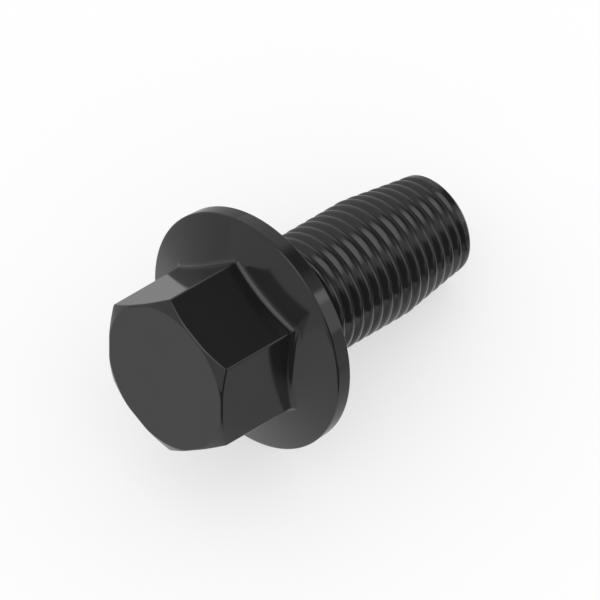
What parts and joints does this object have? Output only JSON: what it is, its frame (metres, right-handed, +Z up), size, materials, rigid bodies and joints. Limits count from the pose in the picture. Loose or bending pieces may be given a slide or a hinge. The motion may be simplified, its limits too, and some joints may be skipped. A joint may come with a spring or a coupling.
{
  "type": "self-tapping flange screw",
  "caption": "Short black self-tapping screw with a chamfered hexagon head, a conical flange and a fine thread on a blunt tapered tip.",
  "frame": {"origin": "centre of the bearing face under the flange, on the screw's axis; the screw lies on its side, on the rim of its flange and the edge of its tip", "axes": "+X runs level along the shank from head to tip, +Z up; the screw's own axis dips from +X towards -Z by the angle at which it lies"},
  "size_m": [0.0374, 0.024, 0.0234],
  "materials": {
    "black_coating": "smooth, semi-gloss black coating on steel"
  },
  "bodies": {
    "root": {"screw": "black_coating"}
  },
  "joints": []
}
